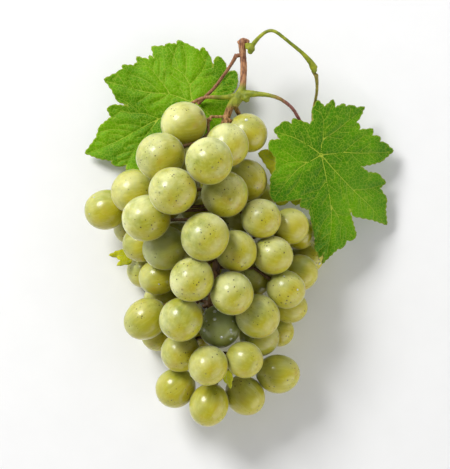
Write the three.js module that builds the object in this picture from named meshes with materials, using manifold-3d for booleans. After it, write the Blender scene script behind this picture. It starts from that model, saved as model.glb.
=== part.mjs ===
// A bunch of green table grapes lying on its back, with its woody stalk, a
// bent green shoot and two vine leaves. Millimetres, +Z up, the surface that
// the bunch lies on is z = 0 and the stalk points along +Y.

import * as THREE from 'three';
import { mergeVertices } from 'three/addons/utils/BufferGeometryUtils.js';
import { TessellateModifier } from 'three/addons/modifiers/TessellateModifier.js';
import Module from 'manifold-3d';

const wasm = await Module();
wasm.setup();

// ---------- driving dimensions ----------

const BERRY_WIDTH = 20;        // width of a typical berry
const GAP = 0.3;               // left between pieces that touch in nature
const PRESS = 0.8;             // how far pressed berries of one back cluster sink into each other
const RACHIS_RADIUS = 2.2;     // main axis of the stalk, hidden in the bunch
const TWIG_RADIUS = 0.85;      // the thin stem of a berry
const COLLAR_RADIUS = 1.3;     // the little collar that carries a berry
const LEAD = 3;                // straight stretch of stem in front of each berry
const TWIG_SIDES = 5;
const SIMPLEST = 0.03;         // facets smaller than this are merged where pieces are joined
const CELL = 1;                // grid on which the twigs find their way between the berries
const LEAF_THICKNESS = 0.9;
const LEAF_SIZE = 1.025;       // of both big leaves, against their outlines as drawn
const LEAF_FACET = 11;         // longest edge of a leaf's facets
const BERRY_DETAIL = 2;        // subdivision of the icosahedron that a berry is made from
const NEARBY = 1.4 * BERRY_WIDTH;  // berries whose middles are further apart never touch
const STALKWARD = 9;           // a berry's stem slants this far towards the stalk's upper end
const SIDE_EASE = 0.45;        // how easily a crowded berry moves in x and y
const HEIGHT_EASE = 1.2;       // and in height
const LONGEST_PUSH = 1.5;      // of a crowded berry in one round
const HOMEWARD = 0.06;         // share of the way home that a berry is drawn in the first round
const STALK_PLACES = 60;       // places along each line of the stalk where a twig may root
const STEM_DIRECTIONS = 400;   // tried for each berry

const COLOURS = {
  berry: 0xb9bf4a,
  bark: 0x7a4428,
  green_stem: 0x7f9426,
  purple_stem: 0x8a4a3a,
  leaf: 0x4f9a1e,
  young_leaf: 0xb6b52c,
};

// ---------- small helpers ----------

const vector = ([x, y, z]) => new THREE.Vector3(x, y, z);

function material(colour, roughness) {
  return new THREE.MeshStandardMaterial({ color: colour, roughness, metalness: 0 });
}

// Leaves only positions, shares the vertices and drops facets without area.
function weld(geometry) {
  const bare = geometry.clone();
  bare.deleteAttribute('normal');
  bare.deleteAttribute('uv');
  const welded = mergeVertices(bare, 1e-4);
  const kept = [];
  const index = welded.index.array;
  for (let i = 0; i < index.length; i += 3) {
    const [a, b, c] = [index[i], index[i + 1], index[i + 2]];
    if (a !== b && b !== c && c !== a) {
      kept.push(a, b, c);
    }
  }
  welded.setIndex(kept);
  return welded;
}

function solid(geometry) {
  const welded = weld(geometry);
  return new wasm.Manifold(new wasm.Mesh({
    numProp: 3,
    vertProperties: new Float32Array(welded.attributes.position.array),
    triVerts: new Uint32Array(welded.index.array),
  }));
}

// One closed body out of several that run into each other.
function joined(geometries) {
  const body = geometries.map(solid).reduce((whole, next) => whole.add(next));
  const mesh = body.simplify(SIMPLEST).getMesh();
  const geometry = new THREE.BufferGeometry();
  geometry.setAttribute('position', new THREE.BufferAttribute(mesh.vertProperties, 3));
  geometry.setIndex(new THREE.BufferAttribute(mesh.triVerts, 1));
  return geometry;
}

function curveThrough(points) {
  return new THREE.CatmullRomCurve3(points, false, 'catmullrom');
}

const nearest = (places, place) => places.reduce((a, b) => (
  a.distanceToSquared(place) < b.distanceToSquared(place) ? a : b));

// A round stem through the given points with a radius at each point: a closed
// lathe whose rings are carried along the curve.
function limb(points, radii, sides, steps) {
  const curve = curveThrough(points);
  const rings = (points.length - 1) * steps;
  const centres = Array.from({ length: rings + 1 }, (_, i) => curve.getPoint(i / rings));
  const radiusAt = (ring) => {
    const span = Math.min(Math.floor(ring / steps), points.length - 2);
    return THREE.MathUtils.lerp(radii[span], radii[span + 1], ring / steps - span);
  };
  const profile = [new THREE.Vector2(0, 0)];
  centres.forEach((_, ring) => profile.push(new THREE.Vector2(radiusAt(ring), ring)));
  profile.push(new THREE.Vector2(0, rings));
  const geometry = new THREE.LatheGeometry(profile, sides);
  const frames = carriedFrames(centres);
  const position = geometry.attributes.position;
  for (let i = 0; i < position.count; i += 1) {
    const frame = frames[Math.round(position.getY(i))];
    const place = frame.centre.clone();
    place.addScaledVector(frame.side, position.getX(i));
    place.addScaledVector(frame.up, position.getZ(i));
    position.setXYZ(i, place.x, place.y, place.z);
  }
  return geometry;
}

// A frame at each centre, turned as little as possible from one to the next.
function carriedFrames(centres) {
  const last = centres.length - 1;
  let up = new THREE.Vector3(0.31, 0.17, 0.93);
  return centres.map((centre, i) => {
    const along = centres[Math.min(i + 1, last)].clone().sub(centres[Math.max(i - 1, 0)]).normalize();
    up = up.clone().addScaledVector(along, -up.dot(along)).normalize();
    return { centre, up, side: along.clone().cross(up) };
  });
}

// ---------- stalk: the stretches that can be seen ----------

// Main axis from the green joint down through the middle of the bunch.
const RACHIS = [
  [-1, 61, 33], [-4, 56.5, 33], [-7.6, 46, 30], [-9, 36, 26], [-11, 22, 29], [-10, 6, 32],
  [-10, -12, 31], [-12, -28, 28], [-14, -44, 20], [-12, -57, 20], [-9, -67, 21],
].map(vector);

const CANE = [[1, 60, 33], [1.6, 66, 33], [2, 73, 33], [1.6, 80, 33], [1.2, 85.8, 33.5]].map(vector);
const CANE_HEAD = [[-0.6, 85, 33.5], [1.6, 86, 33.5], [4.4, 85.4, 33.8]].map(vector);
const JOINT = [[-2.6, 56, 33], [-0.6, 60, 33], [1.6, 65, 33]].map(vector);
const BUD = [[1.5, 62, 34], [3.2, 59.4, 34.5], [3.8, 58, 34.6]].map(vector);
const LEFT_ARM = [
  [0, 61, 33], [-7, 60.3, 33.5], [-15, 60.4, 33], [-20, 58.8, 32], [-25, 55.5, 29.5],
].map(vector);
const MIDDLE_ARM = [[-2.5, 57, 32.5], [-0.6, 53.5, 28], [2.6, 47.5, 20]].map(vector);
const RIGHT_ARM = [
  [0, 61, 33], [3.6, 61.8, 34], [9, 61.6, 36], [14, 60.8, 38], [19, 59, 39],
  [24, 55.6, 34.6], [27, 51.8, 29.2], [28.8, 48, 25.8], [28.6, 42, 24], [25, 33, 23],
].map(vector);

function knownStalk() {
  return [
    limb(RACHIS, [1.9, 1.8, 1.8, 2, 2.2, 2, 2, 1.9, 1.7, 1.5, 1.2], 8, 2),
    limb(CANE, [2, 1.6, 1.6, 1.55, 1.9], 10, 3),
    limb(CANE_HEAD, [1.2, 2, 1.5], 8, 2),
    limb(JOINT, [1.9, 2.6, 1.7], 8, 3),
    limb(BUD, [1.4, 1.9, 0.9], 8, 2),
    limb(LEFT_ARM, [1.9, 1.1, 0.85, 0.9, 1.1], 7, 2),
    limb(MIDDLE_ARM, [1.3, 1.1, 1.1], 7, 2),
    limb(RIGHT_ARM, [2, 2, 1.3, 1, 0.9, 0.85, 0.85, 0.85, 0.85, 1], 7, 2),
  ];
}

// ---------- shoot and leaf stalks ----------

const SHOOT = [
  [4.6, 81.6, 35], [6.2, 84.4, 36.5], [9, 87.6, 38], [12.2, 90, 39.2], [15, 90.5, 40],
  [18, 89, 40.6], [23.6, 84.4, 41], [28.6, 80.4, 40.6], [32.6, 76.2, 39.4], [34.8, 73.2, 38],
].map(vector);
const SHOOT_BUD = [[4.6, 80.4, 34.8], [5.5, 82.6, 35.7], [6.2, 84.8, 36.6]].map(vector);
const SHOOT_KNEE = [[32, 77, 39.6], [34, 73.8, 38.3], [34.8, 71.6, 37.4]].map(vector);
const RIGHT_LEAF_STALK = [
  [35.3, 70.6, 36.8], [36, 66.5, 32.6], [36, 62, 27.2], [35.2, 57.5, 22.6],
  [34.4, 52, 22], [35, 44, 23.6], [36.6, 37, 24.8],
].map(vector);
const LEFT_LEAF_STALK = [
  [-1.2, 80.4, 31.6], [-4, 75.5, 29.8], [-8, 70, 27], [-12, 65, 24], [-16.4, 61, 20.8], [-19.4, 58.4, 18.6],
].map(vector);

function shoot() {
  return joined([
    limb(SHOOT, [1.1, 1.2, 0.95, 0.85, 0.85, 0.85, 0.85, 0.95, 1.4, 1.6], 8, 2),
    limb(SHOOT_BUD, [1.1, 1.9, 0.8], 8, 2),
    limb(SHOOT_KNEE, [1, 1.8, 1.1], 8, 2),
  ]);
}

function rightLeafStalk() {
  return weld(limb(RIGHT_LEAF_STALK, [1.1, 0.8, 0.75, 0.75, 0.75, 0.8, 1.1], 8, 2));
}

function leftLeafStalk() {
  return weld(limb(LEFT_LEAF_STALK, [1.1, 0.85, 0.85, 0.85, 0.9, 1.1], 8, 2));
}

// ---------- leaves ----------

// Toothed outlines, listed clockwise from the tip of the lowest left lobe.
const LEFT_OUTLINE = [
  [-72, 34.7], [-66.5, 42], [-65, 47], [-59.5, 51.3], [-61.4, 55.2], [-58.5, 57], [-51.5, 56.4],
  [-56.4, 58.5], [-59, 63.7], [-62.8, 68.8], [-57.3, 71.5], [-54, 73.6], [-54.2, 75.4], [-49, 75.2],
  [-47.3, 76.6], [-47.6, 79.4], [-42, 78], [-41.5, 80], [-39.5, 78.6], [-40.7, 84], [-34.5, 84.2],
  [-33.4, 85.3], [-29, 85], [-28.3, 86.9], [-22.3, 84], [-18.2, 81.7], [-16.8, 83.5], [-14, 80.3],
  [-12.5, 76.6], [-12.2, 74], [-11.3, 78], [-9.7, 79.4], [-6.9, 77.1], [-5.8, 74.3], [-5.6, 71.5],
  [-3.3, 72.6], [-1.2, 72.2], [-0.6, 69], [-0.8, 66], [-1.8, 63.5], [-3.8, 61.5], [-4.8, 57],
  [-6.2, 53.5], [-7.7, 46.7], [-9, 41.5], [-14, 36.5], [-20, 38.5], [-26, 33.5], [-33, 31.5], [-40, 27.4],
  [-48.5, 25.6], [-49, 27.2], [-52.3, 26.4], [-52.3, 29.1], [-55.8, 28.2], [-59.3, 29.6], [-59.1, 31],
  [-65, 32],
];
const RIGHT_OUTLINE = [
  [32.9, 53.4], [35.7, 58.2], [38.9, 55.2], [43, 58.7], [44, 55], [48, 57], [49, 55.7], [51.8, 56.4],
  [54.3, 55.4], [58.2, 56], [56.4, 51.8], [54, 48.5], [55.6, 47.2], [55.4, 45], [62, 45.8], [61.6, 42.6],
  [65.4, 42.1], [65.2, 39.8], [68, 39.3], [72, 35.7], [66, 30.6], [61.6, 29.2], [56, 28], [59.6, 25.5],
  [64.2, 25.1], [68.3, 21], [65.3, 18.2], [68.8, 13.6], [68.2, 8.4], [69, 1.2], [61.6, 3.5], [55.4, 4.6],
  [52.6, 5], [50.4, 8.5], [51.8, 3.5], [54, -3.5], [52.4, -5.8], [49.5, -6], [47.6, -9.4], [45.2, -9.9],
  [38, -16.8], [38.9, -11.6], [36.6, -14], [35.8, -11.6], [34.4, -10], [34.4, -5], [31.6, 8],
  [27.4, 9.4], [27.8, 13], [23.6, 12], [20.9, 12], [15.9, 11.3], [13.6, 14.5], [14, 22.8], [16.2, 26.2],
  [16.4, 29.2], [16.2, 31.5], [13, 35.7], [13.6, 39.3], [18.2, 39.8], [15.4, 44], [20.4, 48.2],
  [23.6, 47], [24.2, 49.5], [29.2, 48], [32, 47], [33.6, 49],
];
const TUCKED_LEAF = [
  [8.6, 34.6], [12, 36.6], [17, 35], [24, 30], [29, 21], [29.6, 12.6], [26.4, 10.2], [23.4, 13], [21.4, 10.6],
  [17.4, 10.6], [16, 17], [15.6, 24],
];
const SIDE_LEAFLET = [
  [-61.4, -13], [-57.2, -10.8], [-53.5, -10.4], [-50.5, -13], [-51, -17], [-54, -17.6], [-57.8, -18],
  [-56, -15.4], [-57.8, -14.2],
];
function grown(outline) {
  return outline.map(([x, y]) => [LEAF_SIZE * x, LEAF_SIZE * y]);
}

const LEFT_LEAF = grown(LEFT_OUTLINE);
const RIGHT_LEAF = grown(RIGHT_OUTLINE);
const TIP_BRACT = [[-4, -75], [-7.6, -70.4], [-7.8, -67], [-4.6, -66.4], [-3, -69]];

const LEFT_VEIN_ORIGIN = new THREE.Vector2(-20, 57.5);
const RIGHT_VEIN_ORIGIN = new THREE.Vector2(37.3, 33.4);

// Both big leaves droop from the point where their stalk holds them.
function leftLeafHeight(x, y) {
  const reach = LEFT_VEIN_ORIGIN.distanceTo(new THREE.Vector2(x, y));
  const turn = Math.atan2(y - LEFT_VEIN_ORIGIN.y, x - LEFT_VEIN_ORIGIN.x);
  return 16.5 - 0.19 * reach + 0.03 * reach * Math.sin(5 * turn);
}

function rightLeafHeight(x, y) {
  const along = x - RIGHT_VEIN_ORIGIN.x;
  const across = y - RIGHT_VEIN_ORIGIN.y;
  const reach = Math.hypot(along, across);
  const turn = Math.atan2(across, along);
  return 27.6 - 0.42 * along - 0.006 * reach * reach + 0.12 * Math.max(0, -across)
    + 0.035 * reach * Math.sin(5 * turn + 1);
}

function tuckedLeafHeight(x, y) {
  return 24 + 0.12 * (y - 22) + 2 * Math.sin(0.35 * (x + y));
}

function sideLeafletHeight(x) {
  return 17 - 0.5 * (x + 55) + 0.6 * Math.sin(x);
}

function tipBractHeight(x, y) {
  return 31 + 0.1 * (y + 70);
}

// A thin closed plate of the outline, with facets small enough to follow the height.
function leaf(outline, height) {
  const shape = new THREE.Shape(outline.map(([x, y]) => new THREE.Vector2(x, y)));
  const plate = new THREE.ExtrudeGeometry(shape, { depth: LEAF_THICKNESS, bevelEnabled: false });
  const rounds = 8;
  const fine = new TessellateModifier(LEAF_FACET, rounds).modify(plate);
  const position = fine.attributes.position;
  for (let i = 0; i < position.count; i += 1) {
    position.setZ(i, position.getZ(i) + height(position.getX(i), position.getY(i)));
  }
  return weld(fine);
}

// ---------- berries ----------

// x, y and height of the middle, width as a share of the typical berry, and
// length as a share of the width.
const FRONT_BERRIES = [
  [-25.5, 45.3, 40, 1.0, 1.04], [-35.7, 32.5, 50, 1.05, 1.04], [-14.3, 29.4, 60, 1.04, 1.03],
  [-29.9, 16.6, 61, 1.04, 1.04], [-48.8, 16.3, 36, 1.0, 1.05], [-62.2, 8.4, 24, 0.91, 1.1],
  [-41.2, 3.9, 50, 1.03, 1.07], [-7.1, 36.6, 42, 0.97, 1.04], [6, 40.6, 30, 0.86, 1.06],
  [5, 21.9, 33, 0.92, 1.04], [-6.5, 15.4, 46, 1.04, 1.03], [9, 14.5, 17, 0.84, 1.06],
  [10.4, 3.9, 42, 0.88, 1.03], [23.5, 1.2, 32, 0.82, 1.04], [-0.7, 3, 27, 0.84, 1.05],
  [-34.3, -8.5, 37, 0.97, 1.05], [-46.7, -8.1, 24, 0.84, 1.04], [-51.3, 0.2, 9, 0.8, 1.04],
  [-46.2, -20.9, 12, 0.78, 1.08], [-38, -23.2, 27, 0.8, 1.1], [-21.4, -23.7, 55, 0.97, 1.06],
  [-15.6, -4.4, 59, 1.06, 1.02], [-35.7, -33.8, 15, 0.86, 1.05], [-43, -42.6, 28, 0.91, 1.15],
  [-38.6, -51, 8, 0.76, 1.05], [-26.7, -42, 47, 0.97, 1.03], [-1.2, -10.8, 46, 0.92, 1.06],
  [15, -13.3, 39, 0.86, 1.06], [12.2, -16.6, 13, 0.84, 1.04], [29.4, -3.6, 18, 0.77, 1.04],
  [31.6, -14.2, 8, 0.74, 1.06], [28, -21, 20, 0.82, 1.06], [20.5, -28, 31, 0.84, 1.05],
  [-3.7, -30.1, 50, 0.96, 1.05], [6.7, -22.3, 27, 0.92, 1.04], [8.5, -39.8, 38, 0.97, 1.05],
  [23.4, -37.2, 16, 0.76, 1.16], [18.8, -49.4, 7, 0.7, 1.04], [9.4, -51.3, 21, 0.88, 1.04],
  [-8.7, -45.8, 33, 0.93, 1.05], [-27.1, -57.7, 31, 0.88, 1.03], [-14.5, -63.2, 42, 0.88, 1.14],
  [1.8, -61.2, 38, 0.81, 1.1], [18.3, -68.8, 20, 0.89, 1.12], [-29.8, -75.4, 22, 0.89, 1.05],
  [-14.2, -82.6, 27, 0.89, 1.12], [2.6, -78.9, 21, 0.86, 1.12], [-20, 30.5, 36, 0.85, 1.05],
];

// Berries on the side that the bunch rests on, pressed together in clusters.
const BACK_CLUSTERS = [
  [[-26, 20, 30, 0.85, 1.05], [-34, 12, 13, 0.85, 1.04], [-20, 10, 9, 0.88, 1.05], [-12, 25, 9, 0.84, 1.06]],
  [[-22, -10, 28, 0.86, 1.05], [-30, -6, 10, 0.86, 1.05], [-16, -18, 9, 0.88, 1.04],
    [-3, -10, 10, 0.86, 1.06]],
  [[-22, -40, 22, 0.84, 1.05], [-22, -52, 10, 0.86, 1.04], [-6, -46, 9, 0.86, 1.05], [3, -31, 9, 0.84, 1.06]],
];

function berry([x, y, height, width, length], cluster) {
  const across = 0.5 * BERRY_WIDTH * width;
  return {
    home: new THREE.Vector3(x, y, height),
    centre: new THREE.Vector3(x, y, height),
    axis: new THREE.Vector3(0, 0, 1),
    across,
    along: across * length,
    cluster,
    stem: null,
  };
}

const singleBerries = FRONT_BERRIES.map((row) => berry(row, null));
const clusters = BACK_CLUSTERS.map((rows, number) => rows.map((row) => berry(row, number)));
const berries = [...singleBerries, ...clusters.flat()];

// How far a berry reaches from its middle in a direction.
function reach(one, direction) {
  const share = one.axis.dot(direction) ** 2;
  return Math.sqrt(one.along ** 2 * share + one.across ** 2 * (1 - share));
}

// Points strung along a line of stalk, and laid over a leaf, that berries keep off.
function beads(points, radius) {
  const spacing = 2;
  const curve = curveThrough(points);
  const count = Math.ceil(curve.getLength() / spacing);
  return curve.getSpacedPoints(count).map((place) => ({ place, radius }));
}

function leafBeads(outline, height) {
  const spacing = 3;
  const cover = 1.9;
  const geometry = leaf(outline, height);
  const box = new THREE.Box3().setFromBufferAttribute(geometry.attributes.position);
  const points = [];
  for (let x = box.min.x; x <= box.max.x; x += spacing) {
    for (let y = box.min.y; y <= box.max.y; y += spacing) {
      if (inside(outline, x, y)) {
        const place = new THREE.Vector3(x, y, height(x, y) + 0.5 * LEAF_THICKNESS);
        points.push({ place, radius: cover });
      }
    }
  }
  outline.forEach(([x, y]) => {
    points.push({ place: new THREE.Vector3(x, y, height(x, y) + 0.5 * LEAF_THICKNESS), radius: cover });
  });
  return points;
}

function inside(outline, x, y) {
  let within = false;
  outline.forEach(([ax, ay], i) => {
    const [bx, by] = outline[(i + 1) % outline.length];
    if ((ay > y) !== (by > y) && x < ax + ((y - ay) / (by - ay)) * (bx - ax)) {
      within = !within;
    }
  });
  return within;
}

const leafObstacles = [
  ...leafBeads(LEFT_LEAF, leftLeafHeight), ...leafBeads(RIGHT_LEAF, rightLeafHeight),
  ...leafBeads(TUCKED_LEAF, tuckedLeafHeight), ...leafBeads(SIDE_LEAFLET, sideLeafletHeight),
  ...leafBeads(TIP_BRACT, tipBractHeight),
];
const stalkObstacles = [
  [RACHIS, RACHIS_RADIUS + 0.4], [CANE, 2.2], [LEFT_ARM, 1.6], [MIDDLE_ARM, 1.4], [RIGHT_ARM, 1.6],
  [LEFT_LEAF_STALK, 1.4], [RIGHT_LEAF_STALK, 1.4],
].flatMap(([line, radius]) => beads(line, radius));
const obstacles = [...stalkObstacles, ...leafObstacles];
const rachisPoints = curveThrough(RACHIS).getSpacedPoints(STALK_PLACES);
const stems = [];  // the berries whose stem has found its direction

// A berry without a stem yet points away from a place on the main axis a little
// nearer the stalk.
function aim(one) {
  if (one.stem) {
    return;
  }
  const target = one.centre.clone().add(new THREE.Vector3(0, STALKWARD, 0));
  const root = nearest(rachisPoints, target);
  one.axis.copy(one.centre).sub(root).normalize();
}

// Moves two berries apart or together along the line between them, mostly in height.
function moveApart(a, b, direction, amount) {
  const easy = direction.clone().multiply(new THREE.Vector3(SIDE_EASE, SIDE_EASE, HEIGHT_EASE));
  const push = easy.multiplyScalar(0.5 * amount / easy.dot(direction));
  push.clampLength(0, LONGEST_PUSH);
  a.centre.sub(push);
  b.centre.add(push);
}

function separate(a, b) {
  const direction = b.centre.clone().sub(a.centre);
  const distance = direction.length();
  direction.divideScalar(distance);
  const chained = a.cluster !== null && a.cluster === b.cluster;
  const wanted = reach(a, direction) + reach(b, direction) + (chained ? -PRESS : GAP);
  const neighbours = chained && Math.abs(berries.indexOf(a) - berries.indexOf(b)) === 1;
  if (distance < wanted || neighbours) {
    moveApart(a, b, direction, wanted - distance);
  }
}

function keepOff(one, { place, radius }) {
  const direction = one.centre.clone().sub(place);
  const distance = direction.length();
  direction.divideScalar(distance);
  const wanted = reach(one, direction) + radius + GAP;
  if (distance < wanted) {
    one.centre.addScaledVector(direction, wanted - distance);
  }
}

// Lets the berries find room: each is drawn to its home and pushed off its
// neighbours. The pull home dies away after seven tenths of the rounds.
function settle(rounds) {
  const down = new THREE.Vector3(0, 0, -1);
  for (let round = 0; round < rounds; round += 1) {
    const pull = HOMEWARD * Math.max(0, 1 - round / (0.7 * rounds));
    berries.forEach((one) => {
      aim(one);
      one.centre.lerp(one.home, pull);
    });
    berries.forEach((a, i) => berries.slice(i + 1).forEach((b) => {
      if (a.centre.distanceTo(b.centre) < NEARBY) {
        separate(a, b);
      }
    }));
    berries.forEach((one) => {
      obstacles.forEach((obstacle) => {
        if (Math.abs(obstacle.place.x - one.centre.x) < BERRY_WIDTH) {
          keepOff(one, obstacle);
        }
      });
      one.centre.z = Math.max(one.centre.z, reach(one, down));
    });
    stems.forEach((other) => berries.filter((one) => one !== other).forEach((one) => {
      if (one.centre.distanceTo(other.centre) < NEARBY) {
        stemBeads(other).forEach((bead) => keepOff(one, bead));
      }
    }));
  }
}

// ---------- twigs ----------

// The 26 neighbours of a cell, with ten times their distance as the price.
const STEPS = [-1, 0, 1].flatMap((i) => [-1, 0, 1].flatMap((j) => [-1, 0, 1].map((k) => (
  [i, j, k, Math.round(10 * Math.hypot(i, j, k))])))).filter((step) => step[3] > 0);

// Directions spread evenly over a sphere.
const DIRECTIONS = Array.from({ length: STEM_DIRECTIONS }, (_, i) => {
  const height = 1 - (2 * i + 1) / STEM_DIRECTIONS;
  const turn = i * Math.PI * (3 - Math.sqrt(5));
  const out = Math.sqrt(1 - height * height);
  return new THREE.Vector3(out * Math.cos(turn), out * Math.sin(turn), height);
});

// The straight stretch of stem in front of a berry, as beads.
function stemBeads(one) {
  return [0, 0.35, 0.7, 1].map((share) => ({
    place: one.centre.clone().addScaledVector(one.axis, -(one.along + GAP + share * LEAD)),
    radius: COLLAR_RADIUS - 0.35 * share,
  }));
}

// True where a round of the given radius stays clear of every berry but one.
function clearOfBerries(place, radius, except) {
  return berries.every((one) => {
    if (one === except || Math.abs(one.centre.x - place.x) > BERRY_WIDTH) {
      return true;
    }
    const offset = place.clone().sub(one.centre);
    const along = offset.dot(one.axis);
    const across = Math.sqrt(Math.max(0, offset.lengthSq() - along * along));
    return Math.hypot(along / (one.along + radius), across / (one.across + radius)) >= 1;
  });
}

// A grid over the bunch that knows, for each cell, the next cell on the
// shortest free way back to the stalk.
class WayBack {
  constructor(starts, clearance) {
    this.box = new THREE.Box3().setFromPoints(berries.map((one) => one.centre)).expandByScalar(3);
    this.box.min.z = clearance;
    const size = this.box.getSize(new THREE.Vector3()).divideScalar(CELL);
    this.counts = [Math.ceil(size.x) + 1, Math.ceil(size.y) + 1, Math.ceil(size.z) + 1];
    this.total = this.counts[0] * this.counts[1] * this.counts[2];
    this.blocked = new Uint8Array(this.total);
    this.next = new Int32Array(this.total).fill(-1);
    this.cost = new Int32Array(this.total).fill(2 ** 30);
    berries.forEach((one) => this.block(one.centre, Math.max(one.along, one.across) + clearance, (place) => (
      !clearOfBerries(place, clearance, null))));
    leafObstacles.forEach(({ place, radius }) => {
      const keep = radius + TWIG_RADIUS;
      this.block(place, keep, (cell) => cell.distanceTo(place) < keep);
    });
    this.spread(starts);
  }

  cellOf(place) {
    const [nx, ny] = this.counts;
    const [i, j, k] = ['x', 'y', 'z'].map((side, n) => THREE.MathUtils.clamp(
      Math.round((place[side] - this.box.min[side]) / CELL), 0, this.counts[n] - 1));
    return (k * ny + j) * nx + i;
  }

  placeOf(cell) {
    const [nx, ny] = this.counts;
    const i = cell % nx;
    const j = Math.floor(cell / nx) % ny;
    const k = Math.floor(cell / (nx * ny));
    return new THREE.Vector3(i, j, k).multiplyScalar(CELL).add(this.box.min);
  }

  block(centre, radius, test) {
    const low = this.placeOf(this.cellOf(centre.clone().subScalar(radius + CELL)));
    const high = this.placeOf(this.cellOf(centre.clone().addScalar(radius + CELL)));
    const place = new THREE.Vector3();
    for (place.z = low.z; place.z <= high.z + 0.01; place.z += CELL) {
      for (place.y = low.y; place.y <= high.y + 0.01; place.y += CELL) {
        for (place.x = low.x; place.x <= high.x + 0.01; place.x += CELL) {
          const cell = this.cellOf(place);
          if (!this.blocked[cell] && test(place)) {
            this.blocked[cell] = 1;
          }
        }
      }
    }
  }

  // Dijkstra's search over the free cells, with whole-number costs in buckets.
  spread(starts) {
    const [nx, ny, nz] = this.counts;
    const buckets = [[]];
    const reachCell = (cell, cost, from) => {
      if (cost < this.cost[cell] && !this.blocked[cell]) {
        this.cost[cell] = cost;
        this.next[cell] = from;
        (buckets[cost] ??= []).push(cell);
      }
    };
    starts.forEach((place) => reachCell(this.cellOf(place), 0, -1));
    for (let cost = 0; cost < buckets.length; cost += 1) {
      (buckets[cost] ?? []).forEach((cell) => {
        if (this.cost[cell] !== cost) {
          return;
        }
        const i = cell % nx;
        const j = Math.floor(cell / nx) % ny;
        const k = Math.floor(cell / (nx * ny));
        STEPS.forEach(([di, dj, dk, price]) => {
          const [a, b, c] = [i + di, j + dj, k + dk];
          if (a >= 0 && b >= 0 && c >= 0 && a < nx && b < ny && c < nz) {
            reachCell((c * ny + b) * nx + a, cost + price, cell);
          }
        });
      });
    }
  }

  costAt(one) {
    return this.cost[this.cellOf(stemBeads(one).at(-1).place)];
  }

  reaches(place) {
    return this.box.containsPoint(place) && this.next[this.cellOf(place)] >= 0;
  }

  // The places from the free cell nearest to a place back to the stalk.
  trace(place) {
    const around = STEPS.map(([i, j, k]) => (
      place.clone().add(new THREE.Vector3(i, j, k).multiplyScalar(CELL))));
    const open = [place, ...around].filter((spot) => this.reaches(spot));
    const way = [];
    for (let cell = open.length ? this.cellOf(open[0]) : -1; cell >= 0; cell = this.next[cell]) {
      way.push(this.placeOf(cell));
    }
    return way;
  }
}

// Turns a berry to the free stem direction nearest to the one it has.
function chooseStem(one, way) {
  const wanted = one.axis.clone();
  const free = DIRECTIONS.concat([wanted]).filter((direction) => {
    const tried = { ...one, axis: direction };
    return stemBeads(tried).every(({ place, radius }) => (
      place.z > radius && clearOfBerries(place, radius + GAP, one)))
      && way.reaches(stemBeads(tried).at(-1).place);
  });
  const best = free.sort((a, b) => b.dot(wanted) - a.dot(wanted))[0];
  one.stem = best !== undefined;
  if (one.stem) {
    one.axis.copy(best);
  }
  return one.stem;
}

const stalkPoints = [RACHIS, LEFT_ARM, MIDDLE_ARM].flatMap((line) => (
  curveThrough(line).getSpacedPoints(STALK_PLACES)));
const clearance = TWIG_RADIUS + GAP;

// True where a straight twig from one place to another touches nothing.
function clearLine(from, to) {
  const checks = Math.ceil(from.distanceTo(to) / (0.5 * CELL));
  return Array.from({ length: checks }, (_, i) => from.clone().lerp(to, (i + 1) / checks)).every((place) => (
    clearOfBerries(place, clearance - 0.1, null)
    && leafObstacles.every((bead) => bead.place.distanceTo(place) > bead.radius + TWIG_RADIUS)));
}

// Keeps only the bends that a way needs to stay clear.
function pulledTight(way) {
  const kept = [way[0]];
  let at = 0;
  while (at < way.length - 1) {
    let ahead = way.length - 1;
    while (ahead > at + 1 && !clearLine(way[at], way[ahead])) {
      ahead -= 1;
    }
    kept.push(way[ahead]);
    at = ahead;
  }
  return kept;
}

// Grows a twig from each berry's collar to the stalk or to the first twig on its way.
function growTwigs(way) {
  const grown = [...stalkPoints];
  const joinDistance = 1.5 * CELL;
  const order = [...stems].sort((a, b) => way.costAt(a) - way.costAt(b));
  return order.map((one) => {
    const stemAt = (distance) => one.centre.clone().addScaledVector(one.axis, -(one.along + GAP + distance));
    const steps = way.trace(stemAt(LEAD));
    const meets = steps.findIndex((place) => nearest(grown, place).distanceTo(place) < joinDistance);
    const free = steps.slice(0, meets < 0 ? steps.length : meets + 1);
    const bends = pulledTight([stemAt(LEAD), ...free.slice(1)]);
    const root = nearest(grown, bends.at(-1));
    const line = [...bends, root];
    line.forEach((place, i) => {
      const spans = Math.ceil(place.distanceTo(line[i + 1] ?? place) / CELL);
      for (let n = 0; n < spans; n += 1) {
        grown.push(place.clone().lerp(line[i + 1], n / spans));
      }
    });
    const points = [stemAt(0), ...line];
    return limb(points, [COLLAR_RADIUS, ...line.map(() => TWIG_RADIUS)], TWIG_SIDES, 1);
  });
}

// The berries settle, the stems find their directions, and the berries make
// room for the stems. Each cluster hangs on the twig of its first berry.
settle(500);
const carried = [...singleBerries, ...clusters.map((members) => members[0])];
const firstWay = new WayBack(stalkPoints, clearance);
stems.push(...carried.filter((one) => chooseStem(one, firstWay)));
settle(200);

function berryShape(one) {
  const geometry = new THREE.IcosahedronGeometry(1, BERRY_DETAIL);
  geometry.scale(one.across, one.across, one.along);
  const turn = new THREE.Quaternion().setFromUnitVectors(new THREE.Vector3(0, 0, 1), one.axis);
  geometry.applyQuaternion(turn);
  return geometry;
}

// ---------- the part ----------

const part = new THREE.Group();

function addMesh(name, geometry, colour, roughness) {
  const mesh = new THREE.Mesh(geometry, material(colour, roughness));
  mesh.name = name;
  part.add(mesh);
  return mesh;
}

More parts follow.
